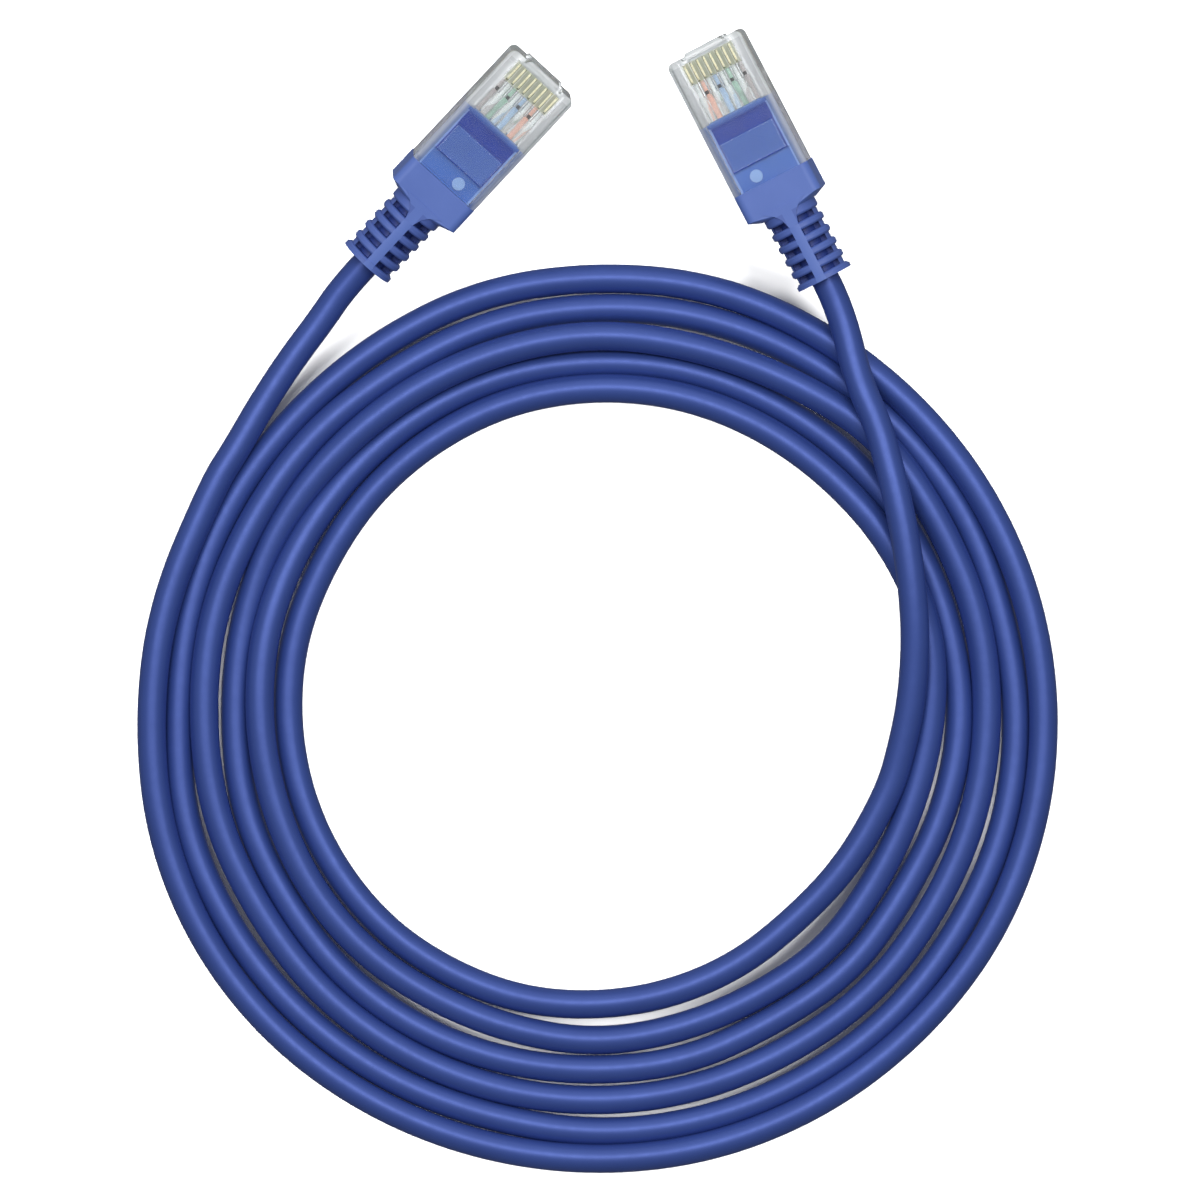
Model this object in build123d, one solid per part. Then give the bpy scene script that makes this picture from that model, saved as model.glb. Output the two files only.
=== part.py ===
from build123d import *
import os
from math import atan2, cos, degrees, hypot, pi, radians, sin, tan

# Ethernet patch cable: 2 m of round cable lying in a flat coil, with a clear
# 8-position modular plug and a moulded boot at each end. Millimetres.
# Origin: on the surface that the cable lies on, midway between the two plugs.
# +Z up, +Y from the coil towards the plugs, +X from plug a towards plug b.

os.makedirs("parts", exist_ok=True)

# ---- cable ----
CABLE_D = 4.0            # jacket outside diameter
JACKET_BORE = 3.0
WIRE_D = 0.86            # insulation outside diameter
COPPER_D = 0.46

# ---- plug housing, local frame: x = 0 at the nose and + forward, z + on the contact side ----
PLUG_L = 21.46
PLUG_W = 11.68
PLUG_H = 6.60
POST_BACK = 0.35         # the nose's corner posts end this far behind its centre block
PITCH = 1.016            # contact pitch
BLADE_T = 0.30
BLADE_X = (-4.30, -1.55)
BLADE_Z = (-0.30, 2.75)
SLOT_W = 0.42
WIRE_Z = 0.10            # height of the wire row above the housing's middle
CAVITY_W = 9.60
CAVITY_Z = (-2.45, 2.50)
CAVITY_FRONT = -10.40
WINDOW_X = (-18.35, -13.72)
WINDOW_W = 8.50

# ---- latch ----
LATCH_X, LATCH_Z = -1.50, -2.90      # hinge line at the root
LATCH_R = 0.70
LATCH_GAP = 0.08
LATCH_W = 6.02
LATCH_TAIL_W = 3.25
LATCH_ARM = 13.6
LATCH_SHOULDER = 7.2
LATCH_T = 0.90
LATCH_REST = 12.0        # degrees the relaxed latch stands off the body
LATCH_TRAVEL = 11.0      # degrees it is pressed in

# ---- inner mould and boot ----
MOULD_W = 9.44
MOULD_Z = (-2.35, 2.40)
BOOT_END = -37.58
COLLAR_W = 11.80
COLLAR_Z = (-4.90, 3.90)
COLLAR_REAR = -25.70
NECK_START = -26.50
RING_R = 4.02
FLANGE_R = 4.18
FLANGE_FRONT = -36.65
NECK_CORE_R = 2.30
GROOVE_R = 3.58          # bottom of the shallow groove between rings, at the sides
SLOTS_X = (-28.26, -30.26, -32.24, -34.24, -36.22)
NECK_SLOT_W = 0.86
SPINE_W = 1.40
RAIL_Y = 3.15             # the deep slots end here, at the rails of the neck's two sides
BORE_R = CABLE_D / 2 + 0.02
JACKET_CUT = -15.80      # the jacket is stripped off in front of this
PIP_R = 0.92

# ---- how the pieces lie (boot end x, y, z; yaw; nose-up pitch; roll) ----
PLACE = {
    "a": ((-32.93, -14.55, 4.27), 46.7, 7.3, 9.0),
    "b": ((32.40, -16.89, 6.30), 117.5, 2.4, -9.0),
}

# ---- coil: centre, and its outside and inside edges as angle: radius ----
COIL_C = (0.0, -79.62)
OUTSIDE = {150: 65.86, 165: 65.5, 180: 65.57, 195: 66.14, 210: 66.21, 225: 65.71,
           240: 65.29, 255: 65.0, 270: 64.86, 285: 64.93, 300: 65.14, 315: 65.5,
           330: 65.71, 345: 65.79, 360: 65.5, 375: 65.5, 390: 65.29, 405: 65.07,
           420: 65.07, 435: 65.2, 450: 64.86, 465: 64.3, 480: 63.57, 492: 62.9}
INSIDE = {345: 44.4, 360: 45.5, 375: 45.86, 390: 45.79, 405: 45.57, 420: 45.43,
          435: 45.36, 450: 45.0, 465: 44.6, 480: 44.1, 495: 43.5, 510: 42.93,
          525: 42.64, 540: 42.14, 555: 41.57, 570: 40.93, 585: 40.43, 600: 39.93,
          615: 39.43, 630: 38.79, 645: 38.46, 660: 38.11, 675: 38.07, 687: 38.5}

# ---- the two tails: corners of the route, from each boot to the coil ----
TAIL_A = [(-32.93, -14.55, 4.27), (-35.86, -17.66, 3.72), (-39.53, -22.05, 3.15),
          (-43.20, -27.15, 2.55), (-46.78, -32.65, 2.00), (-49.81, -37.82, 2.00)]
TAIL_B = [(32.40, -16.89, 6.30), (34.64, -21.20, 6.10), (37.22, -28.69, 6.05),
          (39.79, -36.55, 6.05), (41.93, -44.41, 6.05), (43.65, -52.26, 6.05),
          (44.79, -60.12, 6.00), (45.22, -67.98, 5.40), (44.93, -75.84, 4.20),
          (44.00, -83.55, 3.00), (41.30, -90.12, 2.00), (37.42, -97.06, 2.00)]

WIRES = ["wire_white_orange", "wire_orange", "wire_white_green", "wire_blue",
         "wire_white_blue", "wire_green", "wire_white_brown", "wire_brown"]

nodes = {}


def box(x, y, z):
    return Pos((x[0] + x[1]) / 2, (y[0] + y[1]) / 2, (z[0] + z[1]) / 2) * Box(
        x[1] - x[0], y[1] - y[0], z[1] - z[0])


def along_x(r, x0, x1, y=0.0, z=0.0):
    return Pos((x0 + x1) / 2, y, z) * Rot(0, 90, 0) * Cylinder(r, abs(x1 - x0))


def profile_y(points, width):
    """A prism: points are (x, z), centred on y = 0."""
    face = make_face(Polyline(*[(px, 0, pz) for px, pz in points], close=True))
    half = extrude(face, amount=width / 2, dir=(0, 1, 0))
    return half + extrude(face, amount=width / 2, dir=(0, -1, 0))


def tube(path_points, d, name, radii=None):
    """Straight runs joined by tangent arcs as large as the runs allow."""
    pts = [Vector(*p) for p in path_points]
    runs = [(b - a) for a, b in zip(pts, pts[1:])]
    if radii is None:
        radii = []
        for r0, r1 in zip(runs, runs[1:]):
            turn = r0.get_angle(r1)
            radii.append(0.45 * min(r0.length, r1.length) / tan(radians(turn) / 2))
        print(name, "radii", [round(r, 1) for r in radii],
              "runs", [round(r.length, 1) for r in runs])
    line = FilletPolyline(*pts, radius=radii)
    profile = Plane(origin=pts[0], z_dir=runs[0]) * Circle(d / 2)
    solid = sweep(profile, path=line)
    want = pi * d * d / 4 * line.length
    if name.startswith("cable"):
        print(name, "length", round(line.length, 2), "volume", round(solid.volume, 2),
              "section x length", round(want, 2))
    return solid, line.length


# ---------------------------------------------------------------- one plug
def housing(side):
    b = box((-PLUG_L, 0), (-PLUG_W / 2, PLUG_W / 2), (-PLUG_H / 2, PLUG_H / 2))
    b = fillet(b.edges().filter_by(Axis.X), 0.35)
    b = fillet(b.faces().sort_by(Axis.X)[-1].edges(), 0.25)
    # nose: corner posts set back and rounded, notches beside the chamfered centre block
    for s in (1, -1):
        b -= box((-POST_BACK, 1), sorted((s * 3.15, s * 7)), (-4, 4))
        b -= box((-0.85, 1), sorted((s * 3.12, s * 3.46)), (-1.0, 4))
        corner = make_face(Polyline((0.1, s * 2.5), (0.1, s * 3.2), (-0.70, s * 3.2), close=True))
        b -= Pos(0, 0, -1.0) * extrude(corner, amount=5, dir=(0, 0, 1))
        r = 1.0
        nib = box((-POST_BACK - r, 1), sorted((s * (PLUG_W / 2 - r), s * 7)), (-4, 4))
        nib -= Pos(-POST_BACK - r, s * (PLUG_W / 2 - r), 0) * Cylinder(r, 9)
        b -= nib
        # a shallow groove across the top behind each post
        b -= box((-1.98, -1.72), sorted((s * 4.55, s * 7)), (PLUG_H / 2 - 0.22, 4))
    # shallow steps beside the contact row and behind it
    for s in (1, -1):
        b -= box((-4.75, -0.80), sorted((s * 3.92, s * 4.30)), (PLUG_H / 2 - 0.55, 4))
    b -= box((-4.95, -4.70), (-4.30, 4.30), (PLUG_H / 2 - 0.30, 4))
    # contact slots
    for i in range(8):
        y = (i - 3.5) * PITCH
        b -= box((BLADE_X[0] - 0.12, BLADE_X[1] + 0.12), (y - SLOT_W / 2, y + SLOT_W / 2), (WIRE_Z, 4))
        b -= along_x((WIRE_D + 0.06) / 2, -6.8, -1.30, y, WIRE_Z)
        if i % 2 == (1 if side > 0 else 0):
            # square pit over every second wire
            b -= box((-6.35 - 0.24, -6.35 + 0.24), (y - 0.21, y + 0.21), (WIRE_Z, WIRE_Z + 1.35))
    # wedge-shaped space where the wires come together, then the rear cavity
    b -= profile_y([(-10.6, -1.62), (-8.3, -1.62), (-6.7, WIRE_Z - 0.46), (-6.7, WIRE_Z + 0.46),
                    (-8.3, 1.72), (-10.6, 1.72)], 8.10)
    b -= box((-PLUG_L - 1, CAVITY_FRONT), (-CAVITY_W / 2, CAVITY_W / 2), CAVITY_Z)
    b -= box(WINDOW_X, (-WINDOW_W / 2, WINDOW_W / 2), (CAVITY_Z[1] - 0.2, 4))
    # seat of the latch root
    seat = Pos(LATCH_X, 0, LATCH_Z) * Rot(90, 0, 0) * Cylinder(LATCH_R + LATCH_GAP, LATCH_W + 0.3)
    b -= seat
    b -= box((LATCH_X - LATCH_R - LATCH_GAP, LATCH_X + LATCH_R + LATCH_GAP),
             (-LATCH_W / 2 - 0.15, LATCH_W / 2 + 0.15), (-4, LATCH_Z))
    return b


def latch():
    t0 = -0.50
    root = Rot(90, 0, 0) * Cylinder(LATCH_R, LATCH_W)
    wide = box((-LATCH_SHOULDER, 0.2), (-LATCH_W / 2, LATCH_W / 2), (t0 - LATCH_T, t0))
    tail = box((-LATCH_ARM, -LATCH_SHOULDER + 0.1), (-LATCH_TAIL_W / 2, LATCH_TAIL_W / 2),
               (t0 - LATCH_T, t0))
    tail = fillet(tail.faces().sort_by(Axis.X)[0].edges().filter_by(Axis.Z), 0.9)
    # locking shoulders stand down from the wide part's two rear corners
    arm = root + wide + tail
    for s in (1, -1):
        arm += box((-LATCH_SHOULDER, -LATCH_SHOULDER + 2.6), sorted((s * 1.95, s * LATCH_W / 2)),
                   (t0 - LATCH_T - 0.45, t0 - LATCH_T + 0.05))
    # thumb grip: two low ribs across the tail
    for x in (-LATCH_ARM + 1.2, -LATCH_ARM + 2.3):
        arm += box((x - 0.2, x + 0.2), (-1.2, 1.2), (t0 - LATCH_T - 0.18, t0 - LATCH_T + 0.05))
    return Pos(LATCH_X, 0, LATCH_Z) * Rot(0, -LATCH_REST, 0) * arm


def strain_bar():
    b = box((WINDOW_X[0] + 0.1, WINDOW_X[1] - 0.08), (-WINDOW_W / 2 + 0.1, WINDOW_W / 2 - 0.1), (2.42, 3.12))
    return fillet(b.faces().sort_by(Axis.Z)[-1].edges(), 0.18)


def contacts():
    x0, x1 = BLADE_X
    z0, z1 = BLADE_Z
    pts = [(x0, z0 + 0.55), (x0 + 0.25, z0), (x0 + 0.75, z0 + 0.75), (x0 + 1.1, z0 + 0.75),
           (x0 + 1.38, z0 + 0.1), (x0 + 1.66, z0 + 0.75), (x1 - 0.75, z0 + 0.75), (x1 - 0.25, z0),
           (x1, z0 + 0.55), (x1, z1 - 0.55), (x1 - 0.16, z1 - 0.16), (x1 - 0.55, z1),
           (x0 + 0.3, z1), (x0 + 0.08, z1 - 0.08), (x0, z1 - 0.3)]
    blade = profile_y(pts, BLADE_T)
    return [Pos(0, (i - 3.5) * PITCH, 0) * blade for i in range(8)]


def wire_routes(side):
    """Bundle of one wire in the middle and seven round it, opened out into a flat row."""
    spots = [(0.0, 0.0)]
    rc = WIRE_D / (2 * sin(pi / 7)) + 0.005
    for k in range(7):
        a = radians(90 + k * 360 / 7)
        spots.append((rc * cos(a), rc * sin(a)))
    order = sorted(range(8), key=lambda i: (round(spots[i][0], 3), -spots[i][1]))
    routes = []
    for n, i in enumerate(order):
        yb, zb = spots[i]
        yr = (n - 3.5) * PITCH
        routes.append([(BOOT_END + 0.02, side * yb, zb), (-15.1, side * yb, zb), (-10.9, side * yr, zb),
                       (-8.9, side * yr, zb), (-7.1, side * yr, WIRE_Z), (-1.62, side * yr, WIRE_Z)])
    return routes


def mould(side):
    b = box((-PLUG_L, CAVITY_FRONT - 0.0), (-MOULD_W / 2, MOULD_W / 2), MOULD_Z)
    b = fillet(b.faces().sort_by(Axis.X)[-1].edges(), 0.3)
    for x0, x1 in ((-13.60, -11.40), (-21.20, -18.45)):
        b -= box((x0, x1), (-5, 5), (MOULD_Z[1] - 0.28, 4))
    b -= box((JACKET_CUT, -10.0), (-4.15, 4.15), (-1.52, 1.52))
    b -= along_x(BORE_R, -22, JACKET_CUT + 0.1)
    b += Pos(-20.1, -side * 1.63, MOULD_Z[1] - 0.16) * Cylinder(PIP_R, 0.36)
    return b


def boot():
    collar = box((COLLAR_REAR, -PLUG_L), (-COLLAR_W / 2, COLLAR_W / 2), COLLAR_Z)
    collar = fillet(collar.edges().filter_by(Axis.X), 1.2)
    rear = Plane(origin=(COLLAR_REAR, 0, 0), x_dir=(0, 1, 0), z_dir=(-1, 0, 0))
    neck_face = Plane(origin=(NECK_START, 0, 0), x_dir=(0, 1, 0), z_dir=(-1, 0, 0))
    cz = (COLLAR_Z[0] + COLLAR_Z[1]) / 2
    s0 = rear * (Pos(0, -cz) * RectangleRounded(COLLAR_W, COLLAR_Z[1] - COLLAR_Z[0], 1.2))
    s1 = neck_face * RectangleRounded(2 * RING_R + 0.6, 2 * RING_R, RING_R - 0.05)
    taper = loft([s0, s1])
    neck = along_x(RING_R, NECK_START + 0.01, FLANGE_FRONT) + along_x(FLANGE_R, FLANGE_FRONT, BOOT_END)
    for x in SLOTS_X:
        h = NECK_SLOT_W / 2
        outline = [(x - h, GROOVE_R), (x - h - 0.05, RING_R - 0.22), (x - h - 0.17, RING_R - 0.08),
                   (x - h - 0.34, RING_R + 0.01), (x - h - 0.34, 4.4), (x + h + 0.34, 4.4),
                   (x + h + 0.34, RING_R + 0.01), (x + h + 0.17, RING_R - 0.08),
                   (x + h + 0.05, RING_R - 0.22), (x + h, GROOVE_R)]
        face = make_face(Polyline(*[(px, 0, pr) for px, pr in outline], close=True))
        spine = box((x - 1, x + 1), (-SPINE_W / 2, SPINE_W / 2), (-6, 6))
        neck -= revolve(face, axis=Axis.X) - spine
        deep = along_x(GROOVE_R + 0.2, x - h, x + h) - along_x(NECK_CORE_R, x - 1, x + 1) - spine
        for s in (1, -1):
            deep -= box((x - 1, x + 1), sorted((s * RAIL_Y, s * 6)), (-6, 6))
        deep -= box((x - 1, x + 1), (-RAIL_Y - 1, RAIL_Y + 1), (-SPINE_W / 2, SPINE_W / 2))
        neck -= deep
    tongue = make_face(Polyline((-25.5, 3.3), (-26.4, 1.9), (-27.3, 1.15), (-28.8, 0.7), (-28.8, -0.7),
                                (-27.3, -1.15), (-26.4, -1.9), (-25.5, -3.3), close=True))
    tongue = Pos(0, 0, 2.4) * extrude(tongue, amount=RING_R - 2.4)
    b = collar + taper + neck + tongue
    return b - along_x(BORE_R, -20, -40)


def plug(end, side):
    (ex, ey, ez), yaw, pitch, roll = PLACE[end]
    at = (Location((ex, ey, ez)) * Rot(0, 0, yaw) * Rot(0, -pitch, 0) * Rot(roll, 0, 0)
          * Location((-BOOT_END, 0, 0)))
    out = {"plug_housing_" + end: [housing(side)], "latch_" + end: [latch()],
           "strain_relief_" + end: [strain_bar()], "contacts_" + end: contacts(),
           "inner_mould_" + end: [mould(side)], "boot_" + end: [boot()]}
    out["jacket_end_" + end] = [along_x(CABLE_D / 2, JACKET_CUT, BOOT_END)
                                - along_x(JACKET_BORE / 2, JACKET_CUT + 1, BOOT_END - 1)]
    copper = []
    for name, route in zip(WIRES, wire_routes(side)):
        whole, _ = tube(route, WIRE_D, name, [2.0, 1.4, 1.0, 1.0])
        core, _ = tube(route, COPPER_D, name, [2.0, 1.4, 1.0, 1.0])
        out[name + "_" + end] = [whole - core]
        copper.append(core)
    out["conductors_" + end] = copper
    for name, solids in out.items():
        nodes[name] = [at * s for s in solids]
    hinge = at * Location((LATCH_X, 0, LATCH_Z))
    y_axis = Plane(at).y_dir
    nose = at * Location((0, 0, 0))
    print("latch", end, "at", [round(v, 4) for v in hinge.position], "axis",
          [round(v, 6) for v in y_axis])
    print("nose", end, "at", [round(v, 4) for v in nose.position], "axis",
          [round(v, 6) for v in Plane(at).x_dir])


plug("a", 1)
plug("b", -1)


# ---------------------------------------------------------------- cable
def polar(angle, r):
    return Vector(COIL_C[0] + r * cos(radians(angle)), COIL_C[1] + r * sin(radians(angle)), 0)


def coil():
    """The coil's outer shape: a flat ring with one step outside, where tail a comes in,
    and one step inside, where tail b leaves."""
    a1, a0 = Vector(*TAIL_A[-1]), Vector(*TAIL_A[-2])
    d = (a1 - a0).normalized()
    n = Vector(d.Y, -d.X, 0)
    if (polar(140, 1) - polar(140, 0)).dot(n) < 0:
        n = n * -1
    base = Vector(a1.X, a1.Y, 0)
    o0, o1 = base + n * (CABLE_D / 2), base - n * (CABLE_D / 2)
    outer = Spline(o0, *[polar(a, r) for a, r in OUTSIDE.items()], o1)
    ring = make_face(Wire([outer.edge(), Line(o1, o0).edge()]))
    b1, b0 = Vector(*TAIL_B[-1]), Vector(*TAIL_B[-2])
    d = (b1 - b0).normalized()
    n = Vector(-d.Y, d.X, 0)
    if (polar(-25, 1) - polar(-25, 0)).dot(n) < 0:
        n = n * -1
    base = Vector(b1.X, b1.Y, 0)
    i0, i1 = base + n * (CABLE_D / 2), base - n * (CABLE_D / 2)
    inner = Spline(i0, *[polar(a, r) for a, r in INSIDE.items()], i1)
    hole = make_face(Wire([inner.edge(), Line(i1, i0).edge()]))
    up = lambda f: extrude(f, amount=CABLE_D, dir=(0, 0, 1))
    return up(ring) - up(hole)


nodes["cable_coil"] = [coil()]
nodes["cable_tail_a"] = [tube(TAIL_A, CABLE_D, "cable_tail_a")[0]]
nodes["cable_tail_b"] = [tube(TAIL_B, CABLE_D, "cable_tail_b")[0]]

lo, hi = [1e9] * 3, [-1e9] * 3
for name, solids in nodes.items():
    shape = solids[0] if len(solids) == 1 else Compound(children=list(solids))
    export_step(shape, f"parts/{name}.step")
    b = shape.bounding_box()
    if not name.startswith("cable"):
        lo = [min(p, q) for p, q in zip(lo, (b.min.X, b.min.Y, b.min.Z))]
        hi = [max(p, q) for p, q in zip(hi, (b.max.X, b.max.Y, b.max.Z))]
    if name[:4] in ("boot", "latc", "plug", "cabl"):
        print(name, "z", round(b.min.Z, 3), round(b.max.Z, 3))
print("plugs' box", [round(v, 3) for v in lo], [round(v, 3) for v in hi],
      "centre", round((lo[0] + hi[0]) / 2, 3), round((lo[1] + hi[1]) / 2, 3))
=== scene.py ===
import math
import bpy
from mathutils import Matrix, Vector, Euler


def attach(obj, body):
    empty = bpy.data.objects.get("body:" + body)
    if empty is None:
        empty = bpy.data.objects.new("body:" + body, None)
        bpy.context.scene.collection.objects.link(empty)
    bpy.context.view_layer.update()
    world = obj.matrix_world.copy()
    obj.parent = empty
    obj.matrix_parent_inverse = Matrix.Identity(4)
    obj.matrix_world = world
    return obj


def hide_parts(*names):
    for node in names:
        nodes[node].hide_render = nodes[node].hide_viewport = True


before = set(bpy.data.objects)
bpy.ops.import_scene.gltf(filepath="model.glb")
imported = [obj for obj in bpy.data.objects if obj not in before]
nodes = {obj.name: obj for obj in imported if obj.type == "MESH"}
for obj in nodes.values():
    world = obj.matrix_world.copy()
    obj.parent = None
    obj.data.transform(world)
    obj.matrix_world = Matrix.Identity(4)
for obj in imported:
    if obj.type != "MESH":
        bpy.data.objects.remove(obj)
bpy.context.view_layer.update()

scene = bpy.context.scene
WIRES = ["white_orange", "orange", "white_green", "blue", "white_blue", "green", "white_brown", "brown"]

# ------------------------------------------------------------------ plug frames
# Boot end (mm), yaw, nose-up pitch, roll, and which way round the wires run.
PLACE = {"a": ((-32.93, -14.55, 4.27), 46.7, 7.3, 9.0, 1),
         "b": ((32.40, -16.89, 6.30), 117.5, 2.4, -9.0, -1)}
BOOT_END = -37.58


def plug_matrix(end):
    (x, y, z), yaw, pitch, roll, _ = PLACE[end]
    m = (Matrix.Translation((x / 1000, y / 1000, z / 1000))
         @ Matrix.Rotation(math.radians(yaw), 4, "Z")
         @ Matrix.Rotation(math.radians(-pitch), 4, "Y")
         @ Matrix.Rotation(math.radians(roll), 4, "X"))
    return m @ Matrix.Translation((-BOOT_END / 1000, 0, 0))


# ------------------------------------------------------------------ material helpers
def srgb(r, g, b):
    f = lambda c: (c / 255 / 12.92) if c / 255 <= 0.04045 else (((c / 255) + 0.055) / 1.055) ** 2.4
    return (f(r), f(g), f(b), 1.0)


class Mat:
    def __init__(self, name):
        self.m = bpy.data.materials.new(name)
        self.m.use_nodes = True
        self.t = self.m.node_tree
        self.t.nodes.clear()
        self.out = self.n("ShaderNodeOutputMaterial")

    def n(self, kind, **values):
        node = self.t.nodes.new(kind)
        for k, v in values.items():
            if hasattr(node, k):
                setattr(node, k, v)
        return node

    def link(self, a, b):
        self.t.links.new(a, b)

    def math(self, op, a, b=None, c=None, clamp=False):
        node = self.n("ShaderNodeMath", operation=op)
        node.use_clamp = clamp
        for i, v in enumerate((a, b, c)):
            if v is None:
                continue
            if isinstance(v, (int, float)):
                node.inputs[i].default_value = v
            else:
                self.link(v, node.inputs[i])
        return node.outputs[0]

    def mix(self, fac, a, b):
        node = self.n("ShaderNodeMix", data_type="RGBA")
        for sock, v in ((node.inputs[0], fac), (node.inputs[6], a), (node.inputs[7], b)):
            if isinstance(v, (int, float, tuple)):
                sock.default_value = v
            else:
                self.link(v, sock)
        return node.outputs[2]

    def local(self, end):
        """The plug's own coordinates, in millimetres."""
        tex = self.n("ShaderNodeTexCoord")
        m = plug_matrix(end)
        mp = self.n("ShaderNodeMapping", vector_type="TEXTURE")
        mp.inputs["Location"].default_value = m.to_translation()
        mp.inputs["Rotation"].default_value = m.to_euler("XYZ")
        self.link(tex.outputs["Object"], mp.inputs["Vector"])
        sc = self.n("ShaderNodeVectorMath", operation="SCALE")
        self.link(mp.outputs[0], sc.inputs[0])
        sc.inputs["Scale"].default_value = 1000
        return sc.outputs[0]

    def object_mm(self):
        tex = self.n("ShaderNodeTexCoord")
        sc = self.n("ShaderNodeVectorMath", operation="SCALE")
        self.link(tex.outputs["Object"], sc.inputs[0])
        sc.inputs["Scale"].default_value = 1000
        return sc.outputs[0]

    def xyz(self, vec):
        s = self.n("ShaderNodeSeparateXYZ")
        self.link(vec, s.inputs[0])
        return s.outputs

    def noise(self, vec, scale, detail=2.0, rough=0.5):
        t = self.n("ShaderNodeTexNoise")
        t.inputs["Scale"].default_value = scale
        t.inputs["Detail"].default_value = detail
        t.inputs["Roughness"].default_value = rough
        self.link(vec, t.inputs["Vector"])
        return t.outputs["Fac"]

    def bump(self, height, distance_mm, strength=1.0, normal=None):
        b = self.n("ShaderNodeBump")
        b.inputs["Strength"].default_value = strength
        b.inputs["Distance"].default_value = distance_mm / 1000
        self.link(height, b.inputs["Height"])
        if normal is not None:
            self.link(normal, b.inputs["Normal"])
        return b.outputs[0]

    def principled(self, **values):
        p = self.n("ShaderNodeBsdfPrincipled")
        for k, v in values.items():
            sock = p.inputs[k.replace("_", " ")]
            if isinstance(v, (int, float, tuple)):
                sock.default_value = v
            else:
                self.link(v, sock)
        return p

    def done(self, shader):
        self.link(shader, self.out.inputs["Surface"])
        return self.m


def set_material(obj, mat):
    obj.data.materials.clear()
    obj.data.materials.append(mat)


# ------------------------------------------------------------------ materials
def jacket_material():
    """Smooth extruded PVC: satin, with faint blotches and a very fine grain."""
    k = Mat("jacket_pvc")
    mm = k.object_mm()
    big = k.noise(mm, 0.10, 2.0)
    colour = k.mix(big, srgb(53, 75, 146), srgb(59, 83, 157))
    rough = k.math("MULTIPLY_ADD", k.noise(mm, 0.9, 3.0), 0.12, 0.37)
    n1 = k.bump(k.noise(mm, 0.45, 1.0), 0.05, 0.5)
    n2 = k.bump(k.noise(mm, 7.0, 3.0, 0.6), 0.010, 0.5, n1)
    p = k.principled(Base_Color=colour, Roughness=rough, Normal=n2, Specular_IOR_Level=0.42,
                     Metallic=0.35)
    return k.done(p.outputs[0])


def boot_material(end):
    """Moulded soft PVC: the same blue, a little more matt, with a fine spark-eroded grain."""
    k = Mat("boot_pvc_" + end)
    mm = k.local(end)
    big = k.noise(mm, 0.25, 2.0)
    colour = k.mix(big, srgb(85, 110, 182), srgb(93, 118, 191))
    # painted shade: on the slotted tail of the boot (x below -26.6) the colour is darkened away from the centre spine
    x, y, z = k.xyz(mm)
    r = k.math("SQRT", k.math("ADD", k.math("MULTIPLY", y, y), k.math("MULTIPLY", z, z)))
    neck_painted_shade = k.math("MULTIPLY", k.math("LESS_THAN", x, -26.6), k.math("GREATER_THAN", k.math("ABSOLUTE", y), 0.75))
    colour = k.mix(k.math("MULTIPLY", neck_painted_shade, 0.5), colour, srgb(64, 84, 156))
    # painted shade, darker still, on the slot floors close round the cable (r below 3.3)
    slot_floor_painted_shade = k.math("MULTIPLY", k.math("LESS_THAN", x, -26.6), k.math("LESS_THAN", r, 3.3))
    colour = k.mix(k.math("MULTIPLY", slot_floor_painted_shade, 0.75), colour, srgb(40, 60, 140))
    rough = k.math("MULTIPLY_ADD", k.noise(mm, 1.1, 2.0), 0.14, 0.40)
    nrm = k.bump(k.noise(mm, 8.0, 3.0, 0.65), 0.016, 0.5)
    p = k.principled(Base_Color=colour, Roughness=rough, Normal=nrm, Specular_IOR_Level=0.4)
    return k.done(p.outputs[0])


def mould_material(end):
    """The blue block inside the housing; its round pip is paler."""
    k = Mat("mould_" + end)
    mm = k.local(end)
    x, y, z = k.xyz(mm)
    side = PLACE[end][4]
    colour = k.mix(k.noise(mm, 0.4, 1.0), srgb(2, 42, 140), srgb(8, 52, 152))
    front = k.n("ShaderNodeMapRange")
    k.link(x, front.inputs[0])
    for i, v in ((1, -11.5), (2, -10.5), (3, 0.0), (4, 1.0)):
        front.inputs[i].default_value = v
    colour = k.mix(k.math("MULTIPLY", front.outputs[0], 0.75), colour, srgb(92, 130, 188))
    colour = k.mix(k.math("MULTIPLY", k.math("LESS_THAN", x, -18.4), 0.75), colour, srgb(70, 116, 194))
    # painted highlight: pale blue along the upper part of the block's side edges, behind x -11.2
    side_edge_painted_highlight = k.math("MULTIPLY", k.math("GREATER_THAN", k.math("ABSOLUTE", y), 4.40), k.math("LESS_THAN", x, -11.2))
    side_edge_painted_highlight = k.math("MULTIPLY", side_edge_painted_highlight, k.math("GREATER_THAN", z, 1.4))
    colour = k.mix(k.math("MULTIPLY", side_edge_painted_highlight, 0.7), colour, srgb(150, 178, 228))
    dx = k.math("ADD", x, 20.1)
    dy = k.math("ADD", y, 1.63 * side)
    r = k.math("SQRT", k.math("ADD", k.math("MULTIPLY", dx, dx), k.math("MULTIPLY", dy, dy)))
    pip = k.math("MULTIPLY", k.math("LESS_THAN", r, 0.95), k.math("GREATER_THAN", z, 2.26))
    colour = k.mix(pip, colour, srgb(140, 172, 220))
    nrm = k.bump(k.noise(mm, 5.0, 2.0), 0.02, 0.4)
    p = k.principled(Base_Color=colour, Roughness=0.4, Normal=nrm, Specular_IOR_Level=0.4)
    return k.done(p.outputs[0])


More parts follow.
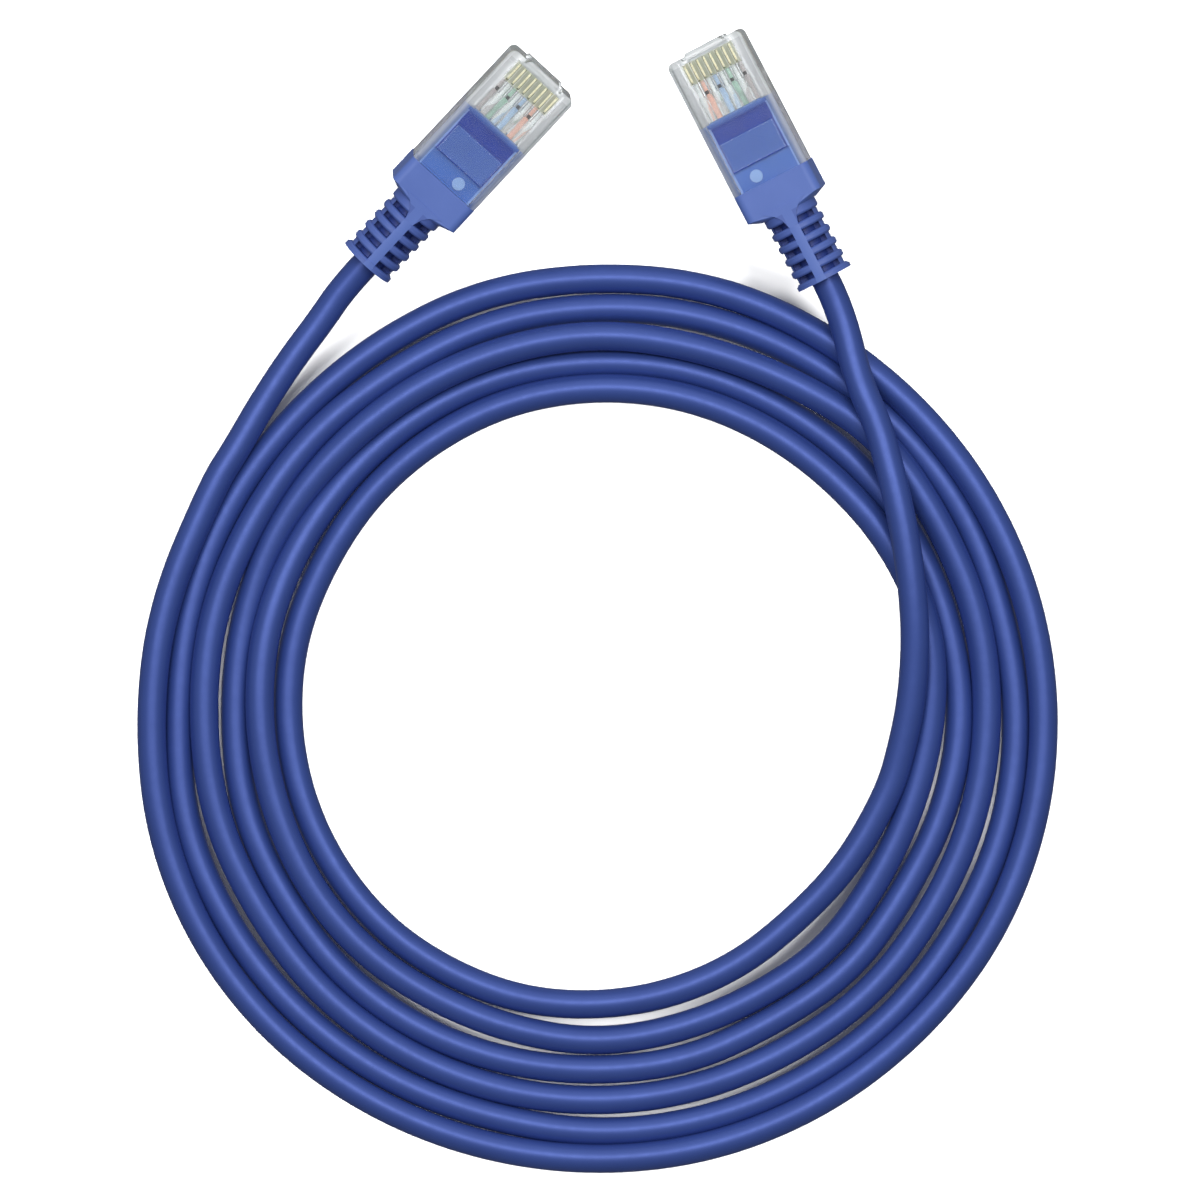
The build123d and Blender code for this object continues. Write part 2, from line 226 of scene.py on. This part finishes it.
def clear_material(name, end, kind):
    """Clear polycarbonate, a little milky. Lamps shine through it, so what is inside stays lit.

    kind "housing" is milkier round the wires and the nose, warm round the contacts and dark
    in the pits over the wires, where the dark is painted shade; "bar" is bluish where it is pressed onto the mould."""
    k = Mat(name + "_" + end)
    mm = k.local(end)
    x, y, z = k.xyz(mm)
    side = PLACE[end][4]
    flow = k.noise(mm, 0.30, 2.0)
    grain = k.noise(mm, 3.0, 2.0)
    nrm = k.bump(grain, 0.02, 0.4, k.bump(flow, 0.10, 0.4))
    glass = k.principled(Base_Color=(0.74, 0.75, 0.76, 1), Roughness=0.09, IOR=1.48,
                         Specular_IOR_Level=0.3, Transmission_Weight=1.0, Normal=nrm)
    film = k.n("ShaderNodeBsdfDiffuse")
    milk = srgb(206, 211, 211)
    if kind == "housing":
        def inside(v, lo, hi):
            return k.math("MULTIPLY", k.math("GREATER_THAN", v, lo), k.math("LESS_THAN", v, hi))

        glow = k.math("MULTIPLY", inside(x, -4.55, -1.35), inside(y, -3.95, 3.95))
        glow = k.math("MULTIPLY", glow, k.math("GREATER_THAN", z, 0.3))
        # every second wire has a pit over it; the dark film in each pit is painted shade
        cell = k.math("FRACT", k.math("ADD", k.math("DIVIDE", k.math("ADD", y, -3.556 * side), 2.032), 20.5))
        near = k.math("LESS_THAN", k.math("ABSOLUTE", k.math("SUBTRACT", cell, 0.5)), 0.13)
        pit_painted_shade = k.math("MULTIPLY", k.math("MULTIPLY", inside(x, -6.62, -6.08), near),
                     k.math("MULTIPLY", inside(z, 0.45, 1.6), inside(y, -3.85, 3.85)))
        ay = k.math("ABSOLUTE", y)
        beside = k.math("LESS_THAN", x, -10.6)
        # these tones lie only on the top and the underside: the side walls stay clear
        skin = k.math("GREATER_THAN", k.math("ABSOLUTE", z), 2.92)
        flank = k.math("MULTIPLY", k.math("MULTIPLY", beside, skin), k.math("GREATER_THAN", ay, 4.76))
        outer = k.n("ShaderNodeMapRange")
        k.link(ay, outer.inputs[0])
        for i, v in ((1, 5.0), (2, 5.5), (3, 0.0), (4, 1.0)):
            outer.inputs[i].default_value = v
        edge = k.math("MAXIMUM", k.math("GREATER_THAN", ay, 5.42), k.math("GREATER_THAN", x, -0.45))
        edge = k.math("MULTIPLY", edge, skin)
        nose = k.math("MULTIPLY", k.math("GREATER_THAN", x, -1.35), k.math("GREATER_THAN", z, 2.92))
        shoulder = k.math("MULTIPLY", k.math("SUBTRACT", 1, beside), k.math("GREATER_THAN", ay, 4.15))
        shoulder = k.math("MULTIPLY", shoulder, skin)
        tone = k.mix(glow, milk, srgb(190, 194, 172))
        tone = k.mix(shoulder, tone, srgb(146, 151, 154))
        tone = k.mix(k.math("MAXIMUM", edge, nose), tone, srgb(168, 173, 174))
        tone = k.mix(flank, tone, k.mix(outer.outputs[0], srgb(84, 106, 154), srgb(150, 158, 178)))
        # painted shade: the dark tone in the pits over the wires
        k.link(k.mix(pit_painted_shade, tone, srgb(44, 34, 40)), film.inputs[0])
        zone = k.n("ShaderNodeMapRange")
        k.link(x, zone.inputs[0])
        for i, v in ((1, -10.7), (2, -10.1), (3, 0.0), (4, 0.21)):
            zone.inputs[i].default_value = v
        # clear over the mould and over the pits, milky in the side walls and at the edges
        over_pits = k.math("MULTIPLY", inside(x, -6.8, -5.9), k.math("MULTIPLY", inside(y, -3.9, 3.9), k.math("GREATER_THAN", z, 1.6)))
        base = k.math("MULTIPLY_ADD", flow, 0.03, zone.outputs[0])
        base = k.math("MULTIPLY", base, k.math("SUBTRACT", 1, k.math("MULTIPLY", over_pits, 0.4)))
        base = k.math("MAXIMUM", base, k.math("MULTIPLY", shoulder, 0.55))
        base = k.math("MAXIMUM", base, k.math("MULTIPLY", edge, 0.66))
        base = k.math("MAXIMUM", base, k.math("MULTIPLY", nose, 0.56))
        base = k.math("MAXIMUM", base, k.math("MULTIPLY", flank, 0.70))
        amount = k.math("MAXIMUM", base, k.math("MAXIMUM", k.math("MULTIPLY", glow, 0.55), k.math("MULTIPLY", pit_painted_shade, 0.9)))
    elif kind == "bar":
        film.inputs[0].default_value = srgb(128, 160, 216)
        amount = k.math("MULTIPLY_ADD", flow, 0.06, 0.17)
    else:
        film.inputs[0].default_value = milk
        amount = k.math("MULTIPLY_ADD", flow, 0.06, 0.20)
    body = k.n("ShaderNodeMixShader")
    k.link(amount, body.inputs[0])
    k.link(glass.outputs[0], body.inputs[1])
    k.link(film.outputs[0], body.inputs[2])
    clear = k.n("ShaderNodeBsdfTransparent")
    clear.inputs[0].default_value = (0.93, 0.94, 0.95, 1)
    path = k.n("ShaderNodeLightPath")
    mix = k.n("ShaderNodeMixShader")
    k.link(path.outputs["Is Shadow Ray"], mix.inputs[0])
    k.link(body.outputs[0], mix.inputs[1])
    k.link(clear.outputs[0], mix.inputs[2])
    return k.done(mix.outputs[0])


def gold_material():
    k = Mat("gold_contact")
    mm = k.object_mm()
    n = k.noise(mm, 3.0, 2.0)
    p = k.principled(Base_Color=k.mix(n, srgb(246, 238, 196), srgb(255, 252, 232)), Metallic=0.1,
                     Roughness=k.math("MULTIPLY_ADD", n, 0.12, 0.22))
    return k.done(p.outputs[0])


def copper_material():
    k = Mat("copper_strands")
    mm = k.object_mm()
    n = k.noise(mm, 12.0, 2.0)
    p = k.principled(Base_Color=k.mix(n, srgb(196, 120, 78), srgb(224, 150, 104)), Metallic=1.0,
                     Roughness=0.35, Normal=k.bump(n, 0.03, 0.6))
    return k.done(p.outputs[0])


WIRE_COLOURS = {"orange": srgb(250, 172, 140), "green": srgb(150, 204, 174),
                "blue": srgb(150, 190, 230), "brown": srgb(176, 160, 158)}


def wire_material(name, end, index):
    k = Mat("wire_" + name + "_" + end)
    mm = k.local(end)
    side = PLACE[end][4]
    solid = WIRE_COLOURS[name.split("_")[-1]]
    x, y, z = k.xyz(mm)
    cy = side * (index - 3.5) * 1.016
    if name.startswith("white"):
        # a tracer stripe that winds slowly round the white insulation
        ang = k.math("ARCTAN2", k.math("SUBTRACT", y, cy), k.math("SUBTRACT", z, 0.1))
        turn = k.math("ADD", k.math("DIVIDE", ang, 2 * math.pi), k.math("DIVIDE", x, 9.0))
        f = k.math("FRACT", k.math("ADD", turn, 40.3))
        stripe = k.math("MULTIPLY", k.math("LESS_THAN", f, 0.34), 0.7)
        colour = k.mix(stripe, srgb(246, 250, 247), solid)
    else:
        colour = k.mix(k.noise(mm, 0.8, 1.0), solid, tuple(min(1, c * 1.12) for c in solid[:3]) + (1,))
    p = k.principled(Base_Color=colour, Roughness=0.35, Normal=k.bump(k.noise(mm, 4.0), 0.01, 0.4))
    return k.done(p.outputs[0])


jacket = jacket_material()
gold, copper = gold_material(), copper_material()
for end in "ab":
    boot = boot_material(end)
    set_material(nodes["boot_" + end], boot)
    set_material(nodes["inner_mould_" + end], mould_material(end))
    set_material(nodes["jacket_end_" + end], jacket)
    set_material(nodes["contacts_" + end], gold)
    set_material(nodes["conductors_" + end], copper)
    for n, kind in (("plug_housing_", "housing"), ("latch_", "latch"), ("strain_relief_", "bar")):
        set_material(nodes[n + end], clear_material("clear_" + kind, end, kind))
    for i, w in enumerate(WIRES):
        set_material(nodes["wire_" + w + "_" + end], wire_material(w, end, i))

# ------------------------------------------------------------------ the cable
CABLE_D = 0.004
TAIL_A = [
    (-32.93, -14.55, 4.27), (-36.33, -18.16, 3.63), (-39.36, -22.63, 3.35), (-43.72, -28.38, 3.35),
    (-47.95, -34.86, 3.57), (-51.66, -41.33, 3.92),
]
COIL = [
    # turn 1
    (-54.78, -46.16, 4.21), (-62.06, -63.26, 4.22), (-64.05, -79.56, 3.99), (-62.51, -96.35, 3.65),
    (-56.12, -112.03, 3.30), (-45.55, -125.22, 3.01), (-31.88, -134.92, 2.86), (-16.39, -140.89, 2.85),
    (-0.00, -142.95, 2.96), (16.44, -141.01, 3.12), (31.84, -134.78, 3.30), (45.14, -124.79, 3.44),
    (55.67, -111.78, 3.53), (62.19, -96.28, 3.66), (64.18, -79.61, 3.83), (61.87, -63.03, 3.96),
    (55.26, -47.69, 3.91), (45.01, -34.61, 3.43), (31.89, -24.45, 2.70), (16.54, -17.84, 2.26),
    (-0.03, -16.33, 2.06), (-16.38, -18.62, 2.00), (-31.11, -25.87, 2.00), (-43.41, -36.25, 2.00),
    # turn 2
    (-52.97, -49.07, 2.00), (-58.56, -63.98, 2.00), (-60.19, -79.59, 2.00), (-59.14, -95.44, 2.00),
    (-52.60, -110.03, 2.00), (-42.65, -122.32, 2.00), (-29.80, -131.34, 2.00), (-15.30, -136.76, 2.00),
    (-0.02, -139.15, 2.00), (15.44, -137.27, 2.00), (29.93, -131.51, 2.00), (42.58, -122.21, 2.00),
    (52.07, -109.69, 2.00), (58.48, -95.30, 2.00), (60.34, -79.59, 2.00), (57.82, -64.14, 2.00),
    (52.34, -49.43, 2.00), (42.46, -37.13, 2.00), (29.91, -27.79, 2.00), (15.41, -22.01, 2.07),
    (-0.02, -20.57, 2.23), (-15.23, -22.95, 2.50), (-28.83, -29.76, 2.86), (-40.79, -38.86, 3.29),
    # turn 3
    (-49.43, -51.10, 3.64), (-55.17, -64.85, 3.75), (-56.55, -79.64, 3.59), (-54.58, -94.28, 3.26),
    (-48.28, -107.53, 2.89), (-39.48, -119.11, 2.56), (-27.70, -127.65, 2.29), (-14.26, -132.90, 2.11),
    (0.01, -134.56, 2.02), (14.23, -132.69, 2.00), (27.46, -127.23, 2.05), (39.25, -118.88, 2.20),
    (47.95, -107.31, 2.43), (53.91, -94.09, 2.77), (56.03, -79.64, 3.18), (54.51, -65.02, 3.62),
    (48.86, -51.46, 3.99), (40.45, -39.14, 4.23), (27.74, -31.39, 4.30), (14.25, -26.45, 4.34),
    (-0.00, -24.51, 4.42), (-14.15, -26.93, 4.49), (-27.03, -32.89, 4.38), (-37.91, -41.75, 3.83),
    # turn 4
    (-46.28, -52.93, 2.76), (-50.84, -66.03, 2.06), (-52.07, -79.62, 2.00), (-50.57, -93.19, 2.00),
    (-44.79, -105.51, 2.00), (-36.69, -116.32, 2.00), (-25.68, -124.18, 2.00), (-13.14, -128.79, 2.00),
    (0.01, -130.13, 2.00), (13.13, -128.52, 2.00), (25.04, -123.01, 2.00), (36.04, -115.68, 2.00),
    (43.73, -104.88, 2.00), (49.71, -93.02, 2.00), (52.30, -79.63, 2.00), (50.37, -66.12, 2.00),
    (45.25, -53.51, 2.00), (36.89, -42.71, 2.00), (25.88, -34.77, 2.00), (13.35, -29.73, 2.00),
    (-0.02, -28.42, 2.00), (-13.24, -30.29, 2.00), (-25.32, -35.79, 2.00), (-35.42, -44.21, 2.32),
    # turn 5
    (-42.97, -54.85, 3.25), (-47.60, -66.93, 4.02), (-48.51, -79.67, 4.14), (-46.32, -92.05, 3.86),
    (-41.36, -103.52, 3.41), (-33.38, -113.08, 2.94), (-23.14, -119.79, 2.53), (-11.96, -124.22, 2.23),
    (0.01, -126.03, 2.05), (11.92, -124.01, 2.00), (22.94, -119.41, 2.07), (32.98, -112.60, 2.29),
    (39.99, -102.70, 2.66), (45.11, -91.77, 3.19), (47.87, -79.72, 3.83), (47.63, -66.90, 4.37),
    (42.40, -55.08, 4.48), (34.11, -45.47, 4.29), (24.00, -38.04, 4.00), (12.38, -33.38, 3.70),
    (-0.02, -32.09, 3.41), (-12.25, -34.04, 3.07), (-23.28, -39.38, 2.73), (-32.48, -47.20, 2.45),
    # turn 6
    (-39.11, -57.07, 2.24), (-43.49, -67.98, 2.11), (-44.52, -79.66, 2.03), (-42.49, -91.05, 2.00),
    (-37.58, -101.36, 2.00), (-30.31, -110.00, 2.00), (-21.03, -116.12, 2.00), (-10.77, -119.94, 2.00),
    (0.04, -120.72, 2.03), (10.57, -119.01, 2.14), (20.32, -114.77, 2.40), (28.52, -108.15, 2.86),
    (35.76, -100.50, 3.53), (41.59, -90.19, 4.42),
]
TAIL_B = [
    (43.46, -83.43, 5.42), (44.70, -77.07, 6.46), (45.23, -70.00, 7.45), (45.07, -63.91, 8.21),
    (44.33, -57.25, 8.57), (43.21, -50.70, 8.63), (41.64, -44.16, 8.42), (39.84, -37.48, 7.88),
    (37.01, -31.28, 7.00), (34.71, -21.32, 6.09), (32.40, -16.89, 6.30),
]
curve = bpy.data.curves.new("cable", "CURVE")
curve.dimensions = "3D"
spline = curve.splines.new("NURBS")
route = TAIL_A + COIL + TAIL_B
spline.points.add(len(route) - 1)
for p, (x, y, z) in zip(spline.points, route):
    p.co = (x / 1000, y / 1000, z / 1000, 1)
spline.order_u = 3
spline.use_endpoint_u = True
curve.resolution_u = 10
curve.bevel_depth = 1.03 * CABLE_D / 2
curve.bevel_resolution = 8
curve.use_fill_caps = True
cable = bpy.data.objects.new("cable", curve)
scene.collection.objects.link(cable)
curve.materials.append(jacket)
for s in curve.splines:
    s.use_smooth = True
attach(cable, "cable")
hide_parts("cable_coil", "cable_tail_a", "cable_tail_b")

# ------------------------------------------------------------------ floor, light, camera
bpy.ops.mesh.primitive_plane_add(size=6, location=(0, -0.06, 0))
floor = bpy.context.object
floor.name = "floor"
k = Mat("floor")
p = k.principled(Base_Color=(0.90, 0.90, 0.90, 1), Roughness=0.9, Specular_IOR_Level=0.0)
k.done(p.outputs[0])
floor.visible_diffuse = False      # a pale ground that throws no light back up
floor.visible_glossy = False
floor.data.materials.append(k.m)


def area(name, loc, size, power, target=(0, -0.06, 0), colour=(1, 1, 1), on_floor=None):
    light = bpy.data.lights.new(name, "AREA")
    light.shape = "RECTANGLE"
    light.size, light.size_y = size
    light.energy = power
    light.color = colour
    o = bpy.data.objects.new(name, light)
    scene.collection.objects.link(o)
    o.location = loc
    o.rotation_euler = (Vector(target) - Vector(loc)).to_track_quat("-Z", "Y").to_euler()
    if on_floor:
        lit = bpy.data.collections.new(name + "_lit")
        lit.objects.link(floor)
        lit.collection_objects[0].light_linking.link_state = on_floor
        o.light_linking.receiver_collection = lit
    return o


area("top", (0.0, 0.27, 1.42), (1.6, 0.34), 14.5, on_floor="EXCLUDE")
area("back", (0.0, 0.94, 0.84), (1.2, 0.8), 2.6)
# The floor has low lamps of its own all round, so it stays white outside and dim under the cable.
for i, (x, y) in enumerate(((1.1, 0.05), (-1.1, 0.05), (0.1, 1.1), (-0.1, -1.25))):
    area("floor_" + str(i), (x, y, 0.95), (0.7, 0.5), 26, on_floor="INCLUDE")
world = bpy.data.worlds.new("world")
scene.world = world
world.use_nodes = True
wt = world.node_tree
sky = wt.nodes.new("ShaderNodeTexCoord")
up = wt.nodes.new("ShaderNodeVectorMath")
up.operation = "DOT_PRODUCT"
up.inputs[1].default_value = (-0.10, 0.62, 0.78)
ramp = wt.nodes.new("ShaderNodeMapRange")
wt.links.new(sky.outputs["Generated"], up.inputs[0])
wt.links.new(up.outputs["Value"], ramp.inputs[0])
for i, v in ((1, -0.1), (2, 0.9), (3, 0.21), (4, 0.50)):
    ramp.inputs[i].default_value = v
wt.links.new(ramp.outputs[0], wt.nodes["Background"].inputs[1])
wt.nodes["Background"].inputs[0].default_value = (1, 1, 1, 1)

# Straight down, from far off, with the image's top towards +Y.
cam = bpy.data.cameras.new("camera")
camera = bpy.data.objects.new("camera", cam)
scene.collection.objects.link(camera)
D = 1.5
cam.sensor_width = 36
cam.lens = 36 * D / 0.171429
camera.location = (0.0003571, -0.0626929, D + 0.002)
camera.rotation_euler = (0, 0, 0)
cam.clip_start, cam.clip_end = 0.05, 10
scene.camera = camera
scene.view_settings.view_transform = "Standard"
scene.view_settings.look = "None"
